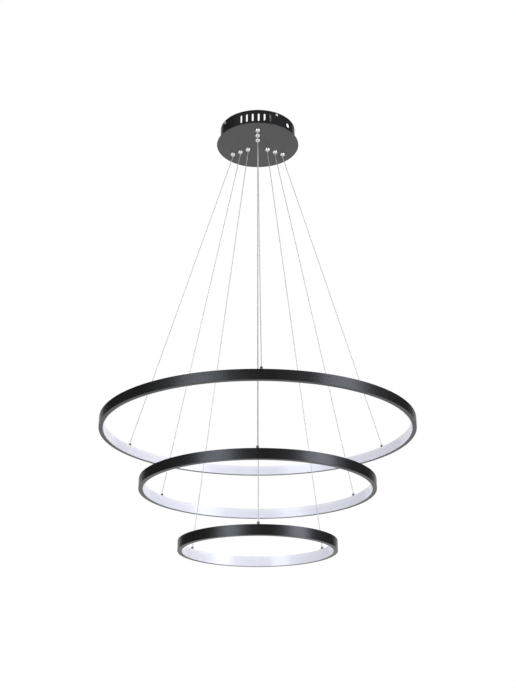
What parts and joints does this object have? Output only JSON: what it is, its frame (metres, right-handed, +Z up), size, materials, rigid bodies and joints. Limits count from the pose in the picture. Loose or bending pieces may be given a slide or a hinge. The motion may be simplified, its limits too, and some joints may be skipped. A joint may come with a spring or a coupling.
{
  "type": "ring chandelier",
  "caption": "Ring chandelier: level black light rings in three sizes hang one under another on thin steel wires from a round vented ceiling canopy.",
  "frame": {"origin": "centre of the canopy, in the plane of the ceiling, on top of the ceiling bracket", "axes": "+Z up into the ceiling; the lamp hangs along -Z; -Y is the near side, where the vent slots are"},
  "size_m": [0.8, 0.7999, 1.2],
  "materials": {
    "black_steel": "satin",
    "black_aluminium": "satin",
    "opal_diffuser": "satin",
    "wire_steel": "gloss",
    "nickel": "satin",
    "zinc_steel": "satin",
    "spring_steel": "satin",
    "black_screw": "satin",
    "bare_aluminium": "satin",
    "white_plastic": "matte",
    "terminal_plastic": "satin",
    "circuit_board": "satin",
    "led_strip": "satin",
    "lead_sleeve": "satin"
  },
  "bodies": {
    "canopy": {"ceiling_bracket": "zinc_steel", "canopy_drum": "black_steel", "canopy_base_plate": "black_steel", "stud_nuts": "zinc_steel", "canopy_side_screws": "nickel", "gripper_bodies": "nickel", "gripper_caps": "nickel", "gripper_washers": "zinc_steel", "gripper_locknuts": "nickel", "gripper_springs": "spring_steel", "wire_stops": "nickel", "driver_cases": "white_plastic", "driver_covers": "white_plastic", "driver_boards": "circuit_board", "driver_cover_screws": "zinc_steel", "terminal_block": "terminal_plastic", "terminal_screws": "zinc_steel", "earth_lug": "zinc_steel", "input_leads": "lead_sleeve", "output_leads": "lead_sleeve", "large_ring_wire_near": "wire_steel", "large_ring_wire_right": "wire_steel", "large_ring_wire_left": "wire_steel", "medium_ring_wire_near": "wire_steel", "medium_ring_wire_right": "wire_steel", "medium_ring_wire_left": "wire_steel", "small_ring_wire_near": "wire_steel", "small_ring_wire_right": "wire_steel", "small_ring_wire_left": "wire_steel"},
    "gripper_plunger_large_near": {"gripper_plunger_large_near": "nickel"},
    "gripper_plunger_large_right": {"gripper_plunger_large_right": "nickel"},
    "gripper_plunger_large_left": {"gripper_plunger_large_left": "nickel"},
    "gripper_plunger_medium_near": {"gripper_plunger_medium_near": "nickel"},
    "gripper_plunger_medium_right": {"gripper_plunger_medium_right": "nickel"},
    "gripper_plunger_medium_left": {"gripper_plunger_medium_left": "nickel"},
    "gripper_plunger_small_near": {"gripper_plunger_small_near": "nickel"},
    "gripper_plunger_small_right": {"gripper_plunger_small_right": "nickel"},
    "gripper_plunger_small_left": {"gripper_plunger_small_left": "nickel"},
    "large_ring": {"large_ring_profile": "black_aluminium", "large_ring_diffuser": "opal_diffuser", "large_ring_led_strip": "led_strip", "large_ring_wire_fittings": "nickel", "large_ring_fitting_nuts": "zinc_steel", "large_ring_splice_plate": "bare_aluminium", "large_ring_splice_screws": "black_screw"},
    "medium_ring": {"medium_ring_profile": "black_aluminium", "medium_ring_diffuser": "opal_diffuser", "medium_ring_led_strip": "led_strip", "medium_ring_wire_fittings": "nickel", "medium_ring_fitting_nuts": "zinc_steel", "medium_ring_splice_plate": "bare_aluminium", "medium_ring_splice_screws": "black_screw"},
    "small_ring": {"small_ring_profile": "black_aluminium", "small_ring_diffuser": "opal_diffuser", "small_ring_led_strip": "led_strip", "small_ring_wire_fittings": "nickel", "small_ring_fitting_nuts": "zinc_steel", "small_ring_splice_plate": "bare_aluminium", "small_ring_splice_screws": "black_screw"}
  },
  "joints": [
    {"name": "large_ring_slide", "type": "slide", "parent": "canopy", "child": "large_ring", "axis": [0, 0, 1], "range_m": [0, 0.6], "deforming": ["large_ring_wire_near", "large_ring_wire_right", "large_ring_wire_left"]},
    {"name": "medium_ring_slide", "type": "slide", "parent": "canopy", "child": "medium_ring", "axis": [0, 0, 1], "range_m": [0, 0.3], "deforming": ["medium_ring_wire_near", "medium_ring_wire_right", "medium_ring_wire_left"]},
    {"name": "small_ring_slide", "type": "slide", "parent": "canopy", "child": "small_ring", "axis": [0, 0, 1], "range_m": [0, 0.45], "deforming": ["small_ring_wire_near", "small_ring_wire_right", "small_ring_wire_left"]},
    {"name": "gripper_plunger_large_near_press", "type": "slide", "parent": "canopy", "child": "gripper_plunger_large_near", "axis": [0, 0, 1], "range_m": [0, 0.002], "stiffness_N_per_m": 150, "springref_m": -0.004, "deforming": ["gripper_springs"]},
    {"name": "gripper_plunger_large_right_press", "type": "slide", "parent": "canopy", "child": "gripper_plunger_large_right", "axis": [0, 0, 1], "range_m": [0, 0.002], "stiffness_N_per_m": 150, "springref_m": -0.004, "deforming": ["gripper_springs"]},
    {"name": "gripper_plunger_large_left_press", "type": "slide", "parent": "canopy", "child": "gripper_plunger_large_left", "axis": [0, 0, 1], "range_m": [0, 0.002], "stiffness_N_per_m": 150, "springref_m": -0.004, "deforming": ["gripper_springs"]},
    {"name": "gripper_plunger_medium_near_press", "type": "slide", "parent": "canopy", "child": "gripper_plunger_medium_near", "axis": [0, 0, 1], "range_m": [0, 0.002], "stiffness_N_per_m": 150, "springref_m": -0.004, "deforming": ["gripper_springs"]},
    {"name": "gripper_plunger_medium_right_press", "type": "slide", "parent": "canopy", "child": "gripper_plunger_medium_right", "axis": [0, 0, 1], "range_m": [0, 0.002], "stiffness_N_per_m": 150, "springref_m": -0.004, "deforming": ["gripper_springs"]},
    {"name": "gripper_plunger_medium_left_press", "type": "slide", "parent": "canopy", "child": "gripper_plunger_medium_left", "axis": [0, 0, 1], "range_m": [0, 0.002], "stiffness_N_per_m": 150, "springref_m": -0.004, "deforming": ["gripper_springs"]},
    {"name": "gripper_plunger_small_near_press", "type": "slide", "parent": "canopy", "child": "gripper_plunger_small_near", "axis": [0, 0, 1], "range_m": [0, 0.002], "stiffness_N_per_m": 150, "springref_m": -0.004, "deforming": ["gripper_springs"]},
    {"name": "gripper_plunger_small_right_press", "type": "slide", "parent": "canopy", "child": "gripper_plunger_small_right", "axis": [0, 0, 1], "range_m": [0, 0.002], "stiffness_N_per_m": 150, "springref_m": -0.004, "deforming": ["gripper_springs"]},
    {"name": "gripper_plunger_small_left_press", "type": "slide", "parent": "canopy", "child": "gripper_plunger_small_left", "axis": [0, 0, 1], "range_m": [0, 0.002], "stiffness_N_per_m": 150, "springref_m": -0.004, "deforming": ["gripper_springs"]}
  ]
}
